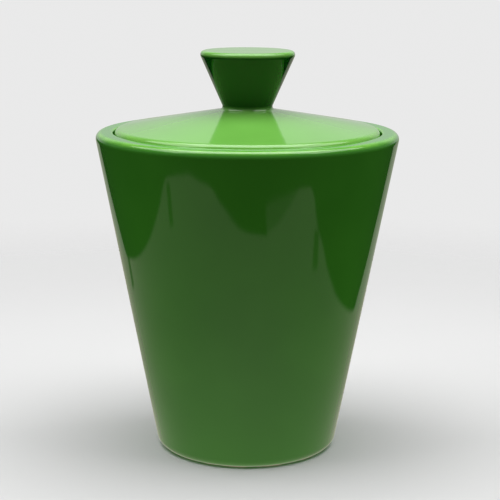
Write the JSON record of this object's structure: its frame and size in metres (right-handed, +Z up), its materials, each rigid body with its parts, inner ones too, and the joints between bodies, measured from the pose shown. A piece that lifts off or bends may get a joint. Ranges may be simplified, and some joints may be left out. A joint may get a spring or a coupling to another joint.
{
  "type": "tobacco jar",
  "caption": "Cone-shaped glazed ceramic jar with a lift-off lid sunk in its rim, a cone knob, a sealing ring and a humidifier under the lid.",
  "frame": {"origin": "centre of the foot, on the surface that the jar stands on", "axes": "+Z up along the jar's axis; the jar is the same all round, so X and Y are any two level directions"},
  "size_m": [0.1258, 0.1258, 0.1681],
  "materials": {
    "green_glaze": "glossy green glaze",
    "silicone": "milky satin silicone",
    "black_rubber": "matte",
    "fired_clay": "unglazed matte",
    "brass": "spun satin"
  },
  "bodies": {
    "jar": {"jar_body": "green_glaze"},
    "lid": {"lid": "green_glaze", "lid_seal": "silicone"},
    "humidifier": {"humidifier_can": "brass", "grip_ring": "black_rubber", "moisture_disc": "fired_clay"},
    "humidifier_cap": {"humidifier_cap": "brass"}
  },
  "joints": [
    {"name": "lid_lift", "type": "slide", "parent": "jar", "child": "lid", "axis": [0, 0, 1], "range_m": [0, 0.04]},
    {"name": "humidifier_pull", "type": "slide", "parent": "lid", "child": "humidifier", "axis": [0, 0, -1], "range_m": [0, 0.015]},
    {"name": "cap_pull", "type": "slide", "parent": "humidifier", "child": "humidifier_cap", "axis": [0, 0, -1], "range_m": [0, 0.008]}
  ]
}
